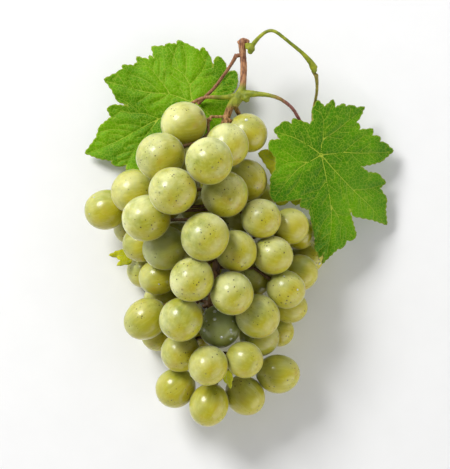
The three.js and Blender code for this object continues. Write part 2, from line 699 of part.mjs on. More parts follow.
const twigs = growTwigs(new WayBack(stalkPoints, clearance));
addMesh('stalk', joined([...knownStalk(), ...twigs]), COLOURS.bark, 0.7);
addMesh('shoot', shoot(), COLOURS.green_stem, 0.5);
addMesh('right_leaf_stalk', rightLeafStalk(), COLOURS.green_stem, 0.5);
addMesh('left_leaf_stalk', leftLeafStalk(), COLOURS.purple_stem, 0.5);
addMesh('left_leaf', leaf(LEFT_LEAF, leftLeafHeight), COLOURS.leaf, 0.55);
addMesh('right_leaf', leaf(RIGHT_LEAF, rightLeafHeight), COLOURS.leaf, 0.55);
addMesh('tucked_leaf', leaf(TUCKED_LEAF, tuckedLeafHeight), COLOURS.young_leaf, 0.6);
addMesh('side_leaflet', leaf(SIDE_LEAFLET, sideLeafletHeight), COLOURS.young_leaf, 0.6);
addMesh('tip_bract', leaf(TIP_BRACT, tipBractHeight), COLOURS.young_leaf, 0.6);

singleBerries.forEach((one, number) => {
  const name = `berry_${String(number + 1).padStart(2, '0')}`;
  const mesh = addMesh(name, berryShape(one), COLOURS.berry, 0.35);
  mesh.position.copy(one.centre);
});

clusters.forEach((members, number) => {
  const shapes = members.map((one) => berryShape(one).translate(...one.centre));
  addMesh(`back_cluster_${number + 1}`, joined(shapes), COLOURS.berry, 0.35);
});

// The origin is the middle of the footprint, on the surface.
const bounds = new THREE.Box3().setFromObject(part);
const middle = bounds.getCenter(new THREE.Vector3());
part.position.set(-middle.x, -middle.y, -bounds.min.z);
part.updateMatrixWorld(true);

export default part;
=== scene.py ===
# The look of a bunch of green table grapes that lies on its back on a pale floor.
# Metres, the CAD part's own frame: +Z up, +Y towards the cut stalk.

import math

import bmesh
import bpy
import numpy as np
from mathutils import Matrix, Vector, geometry, noise
from mathutils.bvhtree import BVHTree
from mathutils.kdtree import KDTree


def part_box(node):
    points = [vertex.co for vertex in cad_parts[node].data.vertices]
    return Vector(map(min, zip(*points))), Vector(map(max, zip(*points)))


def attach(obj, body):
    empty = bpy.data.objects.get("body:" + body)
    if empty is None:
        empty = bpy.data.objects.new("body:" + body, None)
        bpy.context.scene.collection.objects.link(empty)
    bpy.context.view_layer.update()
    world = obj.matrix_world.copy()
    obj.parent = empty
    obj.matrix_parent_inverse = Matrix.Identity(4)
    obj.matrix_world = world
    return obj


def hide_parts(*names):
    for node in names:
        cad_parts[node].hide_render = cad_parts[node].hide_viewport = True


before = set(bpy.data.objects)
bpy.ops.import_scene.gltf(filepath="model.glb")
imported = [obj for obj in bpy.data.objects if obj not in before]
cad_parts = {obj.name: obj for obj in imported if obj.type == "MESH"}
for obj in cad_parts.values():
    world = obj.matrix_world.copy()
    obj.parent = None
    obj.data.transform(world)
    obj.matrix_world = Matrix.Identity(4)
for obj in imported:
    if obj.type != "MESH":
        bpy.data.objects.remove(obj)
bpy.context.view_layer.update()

MM = 0.001

# ---------- sizes of the fine detail ----------

BERRY_RINGS = 40
BERRY_SEGMENTS = 56
POLE_CROWDING = 0.08          # how much closer the rings stand near a berry's two ends
TYPICAL_RADIUS = 10 * MM      # of a berry, for the scale of its skin pattern
PATTERN_SHIFT = 13.7          # from one berry's part of the skin pattern to the next one's
BERRY_SWELL = 0.32 * MM       # the ripe skin stands this far proud of the CAD solid
LUMP_HEIGHT = 0.22 * MM
LUMPS_PER_RADIUS = 1.2
SIDEWAYS = (0.31, 0.87, 0.38)            # a direction that no berry's axis follows
# Rings of relief around a berry's two ends: height, then middle and width in radians.
STEM_RELIEF = ((-0.75 * MM, 0.0, 0.12), (0.16 * MM, 0.27, 0.10))
TIP_RELIEF = ((0.14 * MM, 0.0, 0.05), (-0.10 * MM, 0.12, 0.06))
SCAR_WIDTH = 0.04             # radians of the brown scar at a berry's tip
CONTACT_SHARE = 0.98          # of half the gap between two berries that the skin may fill
NEIGHBOUR_SPAN = 24 * MM      # berries with their middles closer than this may touch

CLUSTER_RADIUS = 8.6 * MM     # rough size of the berries that are joined at the back
CLUSTER_SPAN = 11 * MM        # berries of one cluster stand further apart than this
SAME_MIDDLE = 0.25 * CLUSTER_SPAN
OWN_FACETS = 0.6 * CLUSTER_SPAN
FEWEST_FACETS = 20            # a group of fewer facets isn't a berry
LOOSE_FACETS = 8              # facets that may be left over
ROUND_LENGTH = 1.04           # a full berry against the middles of its flat facets
ROUND_WIDTH = 1.02

LOW_LAYER = 18 * MM           # heights between which the berries turn dusty
TOP_LAYER = 58 * MM
# Ripeness, bloom and dots: least value, what the berry's height adds and what chance adds.
TRAITS = ((0.45, 0.4, 0.25), (0.2, 0.55, 0.25), (0.35, 0.0, 0.65))
GLOW_SIDE = (0.55, -0.65, 0.3)           # side of each berry painted yellower: a painted glow of light through it
GLOW_RANGE = (-0.2, 0.95)     # cosines of the angle from it between which the painted glow rises
TIP_SCAR = 0.8                # how brown the scar is
SIDE_SCAR = 0.9
SIDE_SCAR_RANGE = (0.985, 1.0)
SCARRED_BERRY = "berry_01"
SCARRED_SIDE = (0.8, 0.45, 0.4)
# Berries mixed towards a dull grey-green: berry_40 and berry_16 for their own greyer, greener tone, the
# other three as painted shade.
GREYER_AND_SHADED_BERRIES = {"berry_40": 0.7, "berry_16": 0.35, "berry_15": 0.25, "berry_35": 0.25,
                  "berry_39": 0.25}
WET_BERRIES = {"berry_40": 14, "berry_06": 3, "berry_09": 2, "berry_20": 2, "berry_31": 3,
               "berry_33": 2}
DROP_RADIUS = (0.35 * MM, 0.95 * MM)
DROP_FLATNESS = 0.5           # height of a drop's dome as a share of its radius
DROP_SPREAD = 0.8             # how far to the side of a berry's top the drops may sit
DROP_LIFT = (0.3, 1.0)
DROP_SEGMENTS = 14
DROP_RINGS = 10
DROP_SEED = 5
WELL_OUTSIDE = 30 * MM        # further from a berry's middle than its skin

STEM_GRAIN = 0.28 * MM        # voxel size of a stem's fine mesh
SOFTENING_ROUNDS = 4          # that smooth the voxels' steps away
BRIDGE_SINK = 0.9 * MM        # how deep a joining bar goes into each stem
BRIDGE_SIDES = 14
RIDGES_ALONG = 220            # ridges of the bark per metre, along the bunch and across it
RIDGES_ACROSS = 1500
BARK_DEPTH = 0.10 * MM        # of the ridges
SHOOT_DEPTH = 0.05 * MM
# Where the green joint of the stalk sits, and where the skin changes around it.
JOINT_BELOW_TIP = 27 * MM
JOINT_HEIGHT = 33.5 * MM
CANE_TURNS_WOODY = (3 * MM, 7 * MM)
AXIS_TURNS_WOODY = (-3 * MM, -7 * MM)
LEFT_ARM_TURNS_WOODY = (-9 * MM, -16 * MM)
LEFT_ARM_ENDS = (-9 * MM, -3 * MM)
RIGHT_ARM_TURNS_RED = (11 * MM, 24 * MM)
# Painted shade: over this stretch the stalk darkens towards its end deep in the bunch.
SHADE_DEEPENS = (-11 * MM, -24 * MM)
AXIS_WOOD = 0.85
LEFT_ARM_WOOD = 0.8
LEFT_ARM_RED = 0.3
GREEN_ROUGHNESS = 0.4         # depth of the ridges on green skin against those on bark

LEAF_GRAIN = 0.9 * MM         # spacing of the points inside a leaf
LEAF_SHEET = 0.32 * MM        # thickness of a leaf blade
RIB_SHEET = 1.2               # what a vein adds under the blade, as a share of that
TOOTH_PITCH = 2.8 * MM        # of the small teeth along a leaf's edge
TOOTH_DEPTH = 0.4 * MM
POINTS_PER_TOOTH = 4
BORDER_STEP = 0.15 * MM       # how far inside the edge the height of the edge is read
LEAF_GROWTH = 1.025           # of the two big leaves beyond the vein places below
UPRIGHT = 0.2                 # facets whose normals rise less than this are the leaf's edge
DOUBLE_POINT = 1e-7           # points closer than this are the same
GRID_CLEARANCE = 0.4 * LEAF_GRAIN
MAIN_VEIN = 0.2 * MM          # half the width of a main vein where it starts
BRANCH_SHARE = 0.6            # of that where it leaves another main vein
TAPER = 0.75
THINNEST = 0.35
SIDE_VEIN = 0.1 * MM
MAIN_GROOVE = 0.55 * MM       # half the width of the groove over a vein
SIDE_GROOVE = 0.4 * MM
SIDE_GROOVE_SHARE = 0.6       # depth of a side vein's groove against a main vein's
GROOVE_DEPTH = 0.45           # of a main vein's groove against the arch between veins
QUILT_WIDTH = 1.6 * MM        # distance from a main vein within which the blade arches up
SIDE_QUILT = 1.3              # how much faster it arches up beside a side vein
BROAD_WAVES = 90              # waves of the blade per metre
FINE_WAVES = 260
FINE_WAVE_SHARE = 0.5
VEIN_STEP = 0.8               # millimetres between the points of a main vein
VEIN_STRIDE = 0.7 * MM        # and of a side vein
SIDE_VEIN_SPACING = 4.2 * MM
SIDE_VEIN_ANGLE = math.radians(48)
SIDE_VEIN_BEND = math.radians(1.6)       # back towards the main vein's heading at each stride
SIDE_VEIN_POINTS = (5, 26)    # fewest and most points of a side vein
VEIN_CLEARANCE = 1.2 * MM     # between side veins
RIM_CLEARANCE = 1.0 * MM      # between a side vein's end and the leaf's edge
RIM_SPACING = 1.5 * MM
RIVAL_SHARE = 0.8             # of its length: a side vein stays this far from other main veins

# Main veins from the point where the leaf stalk holds the blade, in millimetres.
LEFT_VEINS = [
    [(-20, 57.5), (-31.7, 61.9), (-42.3, 63), (-53.5, 66), (-62, 68.5)],
    [(-31.7, 61.9), (-36, 68), (-41.8, 75.2), (-46.5, 78.6)],
    [(-20, 57.5), (-22, 60.3), (-22.8, 66), (-26, 71.5), (-30.6, 75.7), (-29, 84)],
    [(-22.8, 66), (-17, 73), (-14.5, 80)],
    [(-20, 57.5), (-37, 50.8), (-48.5, 44.9), (-57.3, 40.3), (-71, 35)],
    [(-37, 50.8), (-43.5, 53.1), (-50.4, 53.6), (-58.5, 55.6)],
    [(-20, 57.5), (-16, 54.5), (-12, 50), (-9.5, 43)],
    [(-20, 57.5), (-14, 61), (-8.5, 66.5), (-4, 71)],
    [(-20, 57.5), (-24, 50), (-27, 42), (-29, 34)],
    [(-37, 50.8), (-44, 42), (-50, 34), (-53, 28.5)],
]
RIGHT_VEINS = [
    [(37.3, 33.4), (47.6, 34.7), (57.7, 34.7), (70.5, 35.6)],
    [(47.6, 34.7), (54.5, 40.7), (61, 45)],
    [(37.3, 33.4), (44, 26), (52.2, 17.7), (60, 10.8), (68, 2)],
    [(52.2, 17.7), (60, 18.5), (67, 20.5)],
    [(37.3, 33.4), (39.8, 21.8), (41.6, 10.8), (42.1, 1.6), (40.3, -12)],
    [(39.8, 21.8), (36.1, 16.8), (31.5, 8.5)],
    [(41.6, 10.8), (47, 3), (52, -4)],
    [(37.3, 33.4), (31.5, 30.1), (26, 26.4), (16.5, 15)],
    [(31.5, 30.1), (24, 30), (17.5, 28)],
    [(37.3, 33.4), (38, 39.8), (43.9, 44.4), (51.8, 50.8), (57.5, 55.3)],
    [(38, 39.8), (38.5, 48), (36.3, 56)],
    [(37.3, 33.4), (32.4, 37), (25, 41), (16.5, 43.6)],
]
TUCKED_VEINS = [
    [(24, 30), (19, 30), (12, 34.5)],
    [(24, 30), (23, 21), (21, 13)],
    [(24, 30), (27, 22), (27.5, 13)],
]
LEAFLET_VEINS = [
    [(-51, -14), (-55, -12.8), (-60, -12.9)],
    [(-51, -15), (-55, -16.4), (-57.4, -17.7)],
]
BRACT_VEINS = [[(-5.8, -67), (-6, -70), (-4.4, -74)]]

FLOOR_SIZE = 6
FLOOR_DROP = 0.2 * MM         # the floor lies this far under the lowest berry
WALL_LIGHT = 1.5              # the white studio walls glow brighter than the ceiling
CEILING_LIGHT = 0.28
WALL_TOP = 0.6                # height on the world's unit ball where the ceiling's light starts
# Each lamp's name, place, size, power and share in highlights.
LAMPS = [
    ("key", (-0.55, 0.6, 0.75), 0.4, 11.5, 0.8),
    ("rim", (0.75, -0.6, 0.3), 1.0, 4.5, 0.0),
]
BUNCH_HEIGHT = 0.04           # the lamps and the camera aim at the bunch's middle
CAMERA_DISTANCE = 0.9
VIEW_WIDTH = 0.207            # metres across the picture at the bunch's middle
VIEW_MIDDLE = (-0.0067, -0.0028)
FILM_WIDTH = 36               # millimetres


# ---------- small helpers ----------

def node_mesh(name):
    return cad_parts[name].data


def vertex_places(mesh):
    """The places of a mesh's vertices, one row each."""
    flat = np.empty(3 * len(mesh.vertices))
    mesh.vertices.foreach_get("co", flat)
    return flat.reshape(-1, 3)


def points_of(name):
    """The places of a CAD node's vertices, each once."""
    return np.unique(vertex_places(node_mesh(name)).round(7), axis=0)


def node_tree(name):
    """A search tree over a CAD node's vertices."""
    places = points_of(name)
    tree = KDTree(len(places))
    for number, place in enumerate(places):
        tree.insert(place, number)
    tree.balance()
    return tree


def surface_tree(mesh):
    """A search tree over a mesh's faces."""
    return BVHTree.FromPolygons([v.co for v in mesh.vertices], [p.vertices for p in mesh.polygons])


def smooth_step(low, high, value):
    """Rises softly from 0 at low to 1 at high."""
    share = np.clip((value - low) / (high - low), 0, 1)
    return share * share * (3 - 2 * share)


def unit(direction):
    """The same direction with length 1."""
    return np.array(direction) / np.linalg.norm(direction)


def new_object(name, vertices, faces, material, node):
    """A piece of fine mesh that stands in for one CAD node."""
    mesh = bpy.data.meshes.new(name)
    mesh.from_pydata([tuple(v) for v in vertices], [], faces)
    mesh.shade_smooth()
    mesh.materials.append(material)
    piece = bpy.data.objects.new(name, mesh)
    bpy.context.collection.objects.link(piece)
    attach(piece, "root")
    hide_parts(node)
    return piece


def add_attribute(piece, name, values):
    """Stores one number or one vector for each vertex."""
    values = np.asarray(values, dtype=float)
    kind = "FLOAT" if values.ndim == 1 else "FLOAT_VECTOR"
    field = "value" if values.ndim == 1 else "vector"
    made = piece.data.attributes.new(name, kind, "POINT")
    made.data.foreach_set(field, values.ravel())


class Nodes:
    """A short way to write a material's node tree."""

    def __init__(self, name):
        self.material = bpy.data.materials.new(name)
        self.material.use_nodes = True
        self.tree = self.material.node_tree
        self.shader = self.tree.nodes["Principled BSDF"]

    def link(self, source, target):
        self.tree.links.new(source, target)

    def put(self, target, value):
        """Links a socket, or sets a plain value."""
        if isinstance(value, bpy.types.NodeSocket):
            self.link(value, target)
        else:
            target.default_value = value

    def set(self, **values):
        """Sets or links the shader's own sockets."""
        for name, value in values.items():
            self.put(self.shader.inputs[name.replace("_", " ")], value)

    def attribute(self, name):
        node = self.tree.nodes.new("ShaderNodeAttribute")
        node.attribute_name = name
        return node

    def place(self):
        """The place on the object, in metres."""
        return self.tree.nodes.new("ShaderNodeTexCoord").outputs["Object"]

    def scaled(self, vector, scale):
        """The vector times one number for each axis."""
        node = self.tree.nodes.new("ShaderNodeVectorMath")
        node.operation = "MULTIPLY"
        self.link(vector, node.inputs[0])
        node.inputs[1].default_value = scale
        return node.outputs["Vector"]

    def noise(self, vector, scale, detail=3.0, roughness=0.55):
        node = self.tree.nodes.new("ShaderNodeTexNoise")
        self.link(vector, node.inputs["Vector"])
        node.inputs["Scale"].default_value = scale
        node.inputs["Detail"].default_value = detail
        node.inputs["Roughness"].default_value = roughness
        return node.outputs["Fac"]

    def voronoi(self, vector, scale, feature="F1"):
        node = self.tree.nodes.new("ShaderNodeTexVoronoi")
        node.feature = feature
        self.link(vector, node.inputs["Vector"])
        node.inputs["Scale"].default_value = scale
        return node

    def between(self, value, low, high, start=0.0, end=1.0):
        """Maps low..high to start..end, with soft ends."""
        node = self.tree.nodes.new("ShaderNodeMapRange")
        node.interpolation_type = "SMOOTHSTEP"
        self.put(node.inputs["Value"], value)
        for socket, number in zip(("From Min", "From Max", "To Min", "To Max"), (low, high, start, end)):
            self.put(node.inputs[socket], number)
        return node.outputs["Result"]

    def split(self, vector):
        """The three numbers of a vector."""
        node = self.tree.nodes.new("ShaderNodeSeparateXYZ")
        self.link(vector, node.inputs["Vector"])
        return node.outputs

    def dots(self, vector, scale, radius, kept):
        """Round dots with random places and sizes; kept is the share of them that shows."""
        cells = self.voronoi(vector, scale)
        pick = self.split(cells.outputs["Color"])[0]
        size = self.between(cells.outputs["Distance"], 0.45 * radius, radius, 1.0, 0.0)
        return self.math("MULTIPLY", size, self.between(pick, 1 - kept, 1.02 - kept))

    def math(self, operation, *values):
        node = self.tree.nodes.new("ShaderNodeMath")
        node.operation = operation
        for socket, value in zip(node.inputs, values):
            self.put(socket, value)
        return node.outputs["Value"]

    def mix(self, share, first, second):
        """Goes from the first colour to the second as the share goes from 0 to 1."""
        node = self.tree.nodes.new("ShaderNodeMix")
        node.data_type = "RGBA"
        self.put(node.inputs["Factor"], share)
        colours = [socket for socket in node.inputs if socket.type == "RGBA"]
        self.put(colours[0], first)
        self.put(colours[1], second)
        return next(socket for socket in node.outputs if socket.type == "RGBA")

    def bump(self, height, strength, distance):
        node = self.tree.nodes.new("ShaderNodeBump")
        node.inputs["Strength"].default_value = strength
        node.inputs["Distance"].default_value = distance
        self.link(height, node.inputs["Height"])
        self.link(node.outputs["Normal"], self.shader.inputs["Normal"])


def colour(red, green, blue):
    return (red, green, blue, 1.0)


# ---------- colours ----------

GREEN_FLESH = colour(0.22, 0.265, 0.02)
RIPE_FLESH = colour(0.45, 0.40, 0.004)
# Amber: the deepest tone of the painted glow, in patches on the glowing side.
AMBER_FLESH = colour(0.42, 0.29, 0.0)
# Dull grey-green: some berries' own tone, and painted shade on others.
GREYER_AND_SHADED_FLESH = colour(0.17, 0.23, 0.11)
STREAK = colour(0.60, 0.60, 0.13)
# Pale bloom, which also serves as a painted highlight on the side towards the key lamp.
BLOOM_AND_HIGHLIGHT = colour(0.80, 0.80, 0.41)
SPOT = colour(0.045, 0.028, 0.008)
# Near-white: a painted glint on the water drops.
WATER_AND_GLINT = colour(0.9, 0.95, 0.88)

DARK_SHOOT = colour(0.13, 0.17, 0.008)
PALE_SHOOT = colour(0.30, 0.33, 0.02)
SHOOT_FIBRE = colour(0.42, 0.34, 0.05)
DARK_BARK = colour(0.13, 0.045, 0.02)
PALE_BARK = colour(0.46, 0.22, 0.10)
DRY_BARK = colour(0.56, 0.36, 0.20)
DARK_FLUSH = colour(0.17, 0.05, 0.035)
PALE_FLUSH = colour(0.36, 0.13, 0.10)
DEEP_SHADE = colour(0.035, 0.018, 0.008)

# Each leaf's light and dark green, its veins and its underside.
SUNNY_GREENS = (colour(0.135, 0.31, 0.0), colour(0.06, 0.18, 0.0),
                colour(0.36, 0.46, 0.04), colour(0.19, 0.32, 0.07))
# The right leaf's set is a slightly darker copy of the left leaf's sunny one: painted shade.
SHADED_LEAF_GREENS = (colour(0.11, 0.29, 0.0), colour(0.045, 0.165, 0.0),
               colour(0.38, 0.46, 0.04), colour(0.17, 0.30, 0.06))
YOUNG_GREENS = (colour(0.78, 0.76, 0.03), colour(0.50, 0.55, 0.015),
                colour(0.58, 0.56, 0.16), colour(0.45, 0.48, 0.2))
LEAF_RIM = colour(0.42, 0.42, 0.06)

FLOOR_GREYS = (colour(0.86, 0.86, 0.86), colour(0.90, 0.90, 0.90))
WHITE = colour(1.0, 1.0, 1.0)


# ---------- materials ----------

def berry_material():
    """Translucent skin: olive-yellow flesh, dusty bloom with a painted highlight in it, faint streaks
    and brown dots.
    The attribute skin is the place on the berry. The other two say what this berry and
    this side of it are like, among them a painted glow on one side and painted shade on a few berries."""
    n = Nodes("grape_skin")
    skin = n.attribute("skin").outputs["Vector"]
    ripeness, bloom, dots = n.split(n.attribute("traits").outputs["Vector"])
    painted_glow, shade, scar = n.split(n.attribute("sides").outputs["Vector"])

    # The flesh is riper in soft clouds. One side is painted yellower, with amber patches there: a
    # painted glow of light shining through the berry.
    cloud = n.between(n.noise(skin, scale=1.1, detail=2.0), 0.3, 0.7)
    ripe = n.math("ADD", n.math("MULTIPLY", cloud, 0.35), n.math("MULTIPLY", ripeness, 0.45))
    ripe = n.math("ADD", ripe, n.math("MULTIPLY", painted_glow, 0.45))
    flesh = n.mix(n.between(ripe, 0.15, 1.1), GREEN_FLESH, RIPE_FLESH)
    amber = n.math("MULTIPLY", n.between(n.noise(skin, scale=1.7), 0.5, 0.7), painted_glow)
    flesh = n.mix(n.math("MULTIPLY", amber, 0.65), flesh, AMBER_FLESH)
    # Faint streaks run from stem to tip.
    streaks = n.between(n.noise(n.scaled(skin, (5.0, 5.0, 0.5)), scale=1.6, detail=4.0), 0.42, 0.72)
    flesh = n.mix(n.math("MULTIPLY", streaks, 0.3), flesh, STREAK)

    # The bloom is dusty in patches and thinned on the glowing side, so its pale colour lies towards the
    # key lamp: real bloom and a painted highlight.
    patches = n.between(n.noise(skin, scale=1.2, detail=4.0), 0.22, 0.7)
    away_from_glow = n.between(painted_glow, 0.0, 0.75, 1.15, 0.12)
    dust_and_highlight = n.math("MULTIPLY", n.math("MULTIPLY", patches, bloom), away_from_glow)
    flesh = n.mix(n.math("MULTIPLY", dust_and_highlight, 0.62), flesh, BLOOM_AND_HIGHLIGHT)
    # Painted shade on some berries, their own greyer tone on others.
    flesh = n.mix(shade, flesh, GREYER_AND_SHADED_FLESH)

    # Brown dots of two sizes stand in loose crowds.
    crowd = n.between(n.noise(skin, scale=0.8, detail=1.0), 0.42, 0.62)
    large = n.dots(skin, scale=4.4, radius=0.21, kept=0.55)
    small = n.dots(skin, scale=8.0, radius=0.21, kept=0.5)
    marks = n.math("MULTIPLY", n.math("MAXIMUM", large, small),
                   n.between(n.math("MULTIPLY", crowd, dots), 0.1, 0.3))
    marks = n.math("MAXIMUM", marks, scar)
    skin_colour = n.mix(n.math("MULTIPLY", marks, 0.9), flesh, SPOT)

    n.set(Base_Color=skin_colour, Roughness=n.math("MULTIPLY_ADD", dust_and_highlight, 0.3, 0.27),
          Subsurface_Weight=0.4, Subsurface_Radius=(1.0, 0.8, 0.1), Subsurface_Scale=0.0035,
          Coat_Weight=0.4, Coat_Roughness=0.15, Sheen_Weight=0.6, Sheen_Roughness=0.22, IOR=1.42)
    pores = n.math("ADD", n.noise(skin, scale=14.0), n.math("MULTIPLY", marks, -0.6))
    n.bump(pores, strength=0.22, distance=0.08 * MM)
    return n.material


def drop_material():
    """Water with a bright, wet surface, partly clear and partly a near-white colour that paints in its
    glints.
    """
    n = Nodes("water_drop")
    n.set(Base_Color=WATER_AND_GLINT, Roughness=0.04, IOR=1.45, Transmission_Weight=0.55,
          Coat_Weight=1.0, Coat_Roughness=0.03)
    return n.material


def stem_material():
    """Bark and green skin. The attribute wood says how woody, how red and how shaded."""
    n = Nodes("stem_skin")
    woody, red, shaded = n.split(n.attribute("wood").outputs["Vector"])
    place = n.place()
    fibre = n.noise(n.scaled(place, (1400, 260, 1400)), scale=1.0, detail=5.0, roughness=0.65)
    blotch = n.noise(place, scale=260.0, detail=4.0)
    green = n.mix(n.between(blotch, 0.35, 0.7), DARK_SHOOT, PALE_SHOOT)
    green = n.mix(n.between(fibre, 0.52, 0.75, 0.0, 0.4), green, SHOOT_FIBRE)
    bark = n.mix(n.between(fibre, 0.38, 0.62), DARK_BARK, PALE_BARK)
    bark = n.mix(n.between(blotch, 0.5, 0.8, 0.0, 0.5), bark, DRY_BARK)
    skin = n.mix(woody, green, bark)
    flush = n.mix(n.between(fibre, 0.4, 0.65), DARK_FLUSH, PALE_FLUSH)
    skin = n.mix(red, skin, flush)
    # Painted shade deep inside the bunch.
    skin = n.mix(n.math("MULTIPLY", shaded, 0.75), skin, DEEP_SHADE)
    n.set(Base_Color=skin, Roughness=n.between(fibre, 0.3, 0.7, 0.42, 0.68), Specular_IOR_Level=0.3)
    n.bump(fibre, strength=0.5, distance=0.25 * MM)
    return n.material


def leaf_material(name, greens):
    """A leaf blade: two greens, pale veins with a fine net between, a paler underside.
    The attribute veins holds the distances to a main vein, a side vein and the rim."""
    n = Nodes(name)
    light, dark, vein, under = greens
    place = n.place()
    main, side, rim = n.split(n.attribute("veins").outputs["Vector"])
    below = n.attribute("below").outputs["Fac"]
    cloud = n.noise(place, scale=38.0, detail=4.0)
    blade = n.mix(n.between(cloud, 0.34, 0.66), dark, light)
    speckle = n.noise(place, scale=900.0, roughness=0.7)
    blade = n.mix(n.between(speckle, 0.48, 0.78, 0.0, 0.3), blade, light)
    net = n.voronoi(n.scaled(place, (1, 1, 0.2)), 640.0, "DISTANCE_TO_EDGE").outputs["Distance"]
    blade = n.mix(n.between(net, 0.01, 0.09, 0.38, 0.0), blade, vein)
    blade = n.mix(n.between(side, 0.5, 1.5, 0.6, 0.0), blade, vein)
    blade = n.mix(n.between(main, 0.6, 1.4, 0.95, 0.0), blade, vein)
    blade = n.mix(n.between(rim, 0.1, 0.7, 0.45, 0.0), blade, LEAF_RIM)
    blade = n.mix(n.math("MULTIPLY", below, 0.55), blade, under)
    n.set(Base_Color=blade, Roughness=n.between(speckle, 0.3, 0.7, 0.45, 0.6),
          Subsurface_Weight=0.15, Subsurface_Radius=(0.6, 1.0, 0.1), Subsurface_Scale=0.0015,
          Specular_IOR_Level=0.1)
    cells = n.math("ADD", n.between(net, 0.0, 0.2), n.math("MULTIPLY", speckle, 0.3))
    n.bump(cells, strength=0.4, distance=0.2 * MM)
    return n.material


# ---------- berries ----------

class Berry:
    """A spheroid with its stem end: centre, unit axis from stem to tip, and half sizes."""

    def __init__(self, centre, axis, along, across):
        self.centre = centre
        self.axis = axis / np.linalg.norm(axis)
        self.along = along
        self.across = across

    def reach(self, direction):
        """About how far the skin is from the middle in a direction."""
        share = float(np.dot(direction, self.axis)) ** 2
        return math.sqrt(self.along ** 2 * share + self.across ** 2 * (1 - share))


def fitted_berry(points, tree):
    """The spheroid through a CAD berry's points. Points spread evenly over a sphere of
    radius r have a variance of r * r / 3 along any line through its middle."""
    centre = points.mean(axis=0)
    offsets = points - centre
    variances, lines = np.linalg.eigh(offsets.T @ offsets / len(points))
    along = math.sqrt(3 * variances[2])
    across = math.sqrt(1.5 * (variances[0] + variances[1]))
    axis = lines[:, 2]
    ends = [tree.find(centre + side * along * axis)[2] for side in (-1, 1)]
    return Berry(centre, axis if ends[0] < ends[1] else -axis, along, across)


def cluster_berries(name, tree):
    """The berries of a joined cluster. Every facet points back to its berry's middle."""
    facets = node_mesh(name).polygons
    guesses = np.array([tuple(p.center - CLUSTER_RADIUS * p.normal) for p in facets])
    skin = np.array([tuple(p.center) for p in facets])
    found = []
    while len(guesses) > LOOSE_FACETS:
        near = [np.linalg.norm(guesses - guess, axis=1) < SAME_MIDDLE for guess in guesses]
        best = near[int(np.argmax([mask.sum() for mask in near]))]
        middle = guesses[best].mean(axis=0)
        own = np.linalg.norm(guesses - middle, axis=1) < OWN_FACETS
        size = np.linalg.norm(skin[own] - middle, axis=1).mean()
        if best.sum() > FEWEST_FACETS:
            axis = middle - np.array(tree.find(middle)[0])
            found.append(Berry(middle, axis, ROUND_LENGTH * size, ROUND_WIDTH * size))
        guesses = guesses[~own]
        skin = skin[~own]
    return found


def unit_berry():
    """Places on a ball of radius 1 from the tip, ring by ring, to the stem end."""
    rows = np.linspace(0, 1, BERRY_RINGS + 1)
    from_tip = math.pi * (rows - POLE_CROWDING * np.sin(2 * math.pi * rows))
    turns = np.linspace(0, 2 * math.pi, BERRY_SEGMENTS, endpoint=False)
    inner = from_tip[1:-1]
    rings = np.stack([
        np.outer(np.sin(inner), np.cos(turns)).ravel(),
        np.outer(np.sin(inner), np.sin(turns)).ravel(),
        np.repeat(np.cos(inner), BERRY_SEGMENTS),
    ], axis=1)
    return np.vstack([[0, 0, 1], rings, [0, 0, -1]])


def ring_relief(angles, rings):
    """Heights of smooth rings around one end, for places at these angles from it."""
    return sum(height * np.exp(-((angles - middle) / width) ** 2) for height, middle, width in rings)


def pressed(world, berry, others):
    """The skin flattened where it would meet a neighbour or the floor."""
    for other in others:
        line = other.centre - berry.centre
        distance = np.linalg.norm(line)
        line = line / distance
        room = distance - berry.reach(line) - other.reach(line)
        flat = berry.reach(line) + 0.5 * CONTACT_SHARE * room
        excess = (world - berry.centre) @ line - flat
        world = world - np.clip(excess, 0, None)[:, None] * line
    world[:, 2] = np.maximum(world[:, 2], 0)
    return world


def berry_surface(berry, seed, others):
    """A ring-by-ring skin with a dimple under the stem, a scar at the tip, soft
    lumps and flats where it meets its neighbours."""
    local = unit_berry()
    tip_angle = np.arccos(np.clip(local[:, 2], -1, 1))
    own_place = Vector((seed, 3.1 * seed, 7.7))
    lumps = np.array([noise.noise(Vector(LUMPS_PER_RADIUS * p) + own_place) for p in local])
    relief = (BERRY_SWELL + LUMP_HEIGHT * lumps + ring_relief(math.pi - tip_angle, STEM_RELIEF)
              + ring_relief(tip_angle, TIP_RELIEF))
    z = berry.axis
    x = unit(np.cross(z, SIDEWAYS))
    y = np.cross(z, x)
    sizes = np.array([berry.across, berry.across, berry.along])
    world = berry.centre + (local * (sizes + relief[:, None])) @ np.stack([x, y, z])
    return pressed(world, berry, others), local, tip_angle


def berry_faces(first):
    """Quads between the rings and fans at both ends, for points that start at first."""
    faces = []
    rings = BERRY_RINGS - 1
    tip = first
    stem = first + 1 + rings * BERRY_SEGMENTS
    for segment in range(BERRY_SEGMENTS):
        following = (segment + 1) % BERRY_SEGMENTS
        faces.append((tip, first + 1 + segment, first + 1 + following))
        for row in range(rings - 1):
            upper = first + 1 + row * BERRY_SEGMENTS
            lower = upper + BERRY_SEGMENTS
            faces.append((upper + segment, lower + segment, lower + following, upper + following))
        last = stem - BERRY_SEGMENTS
        faces.append((last + segment, stem, last + following))
    return faces


def berry_traits(berry, seed):
    """Ripeness, bloom and dots of one berry, from 0 to 1. The berries that stand out
    of the bunch are dusty with bloom, the low ones are clearer and more yellow."""
    pick = np.random.default_rng(seed)
    out = float(smooth_step(LOW_LAYER, TOP_LAYER, berry.centre[2]))
    return [least + by_height * height + by_chance * pick.random()
            for (least, by_height, by_chance), height in zip(TRAITS, (1 - out, out, 0))]


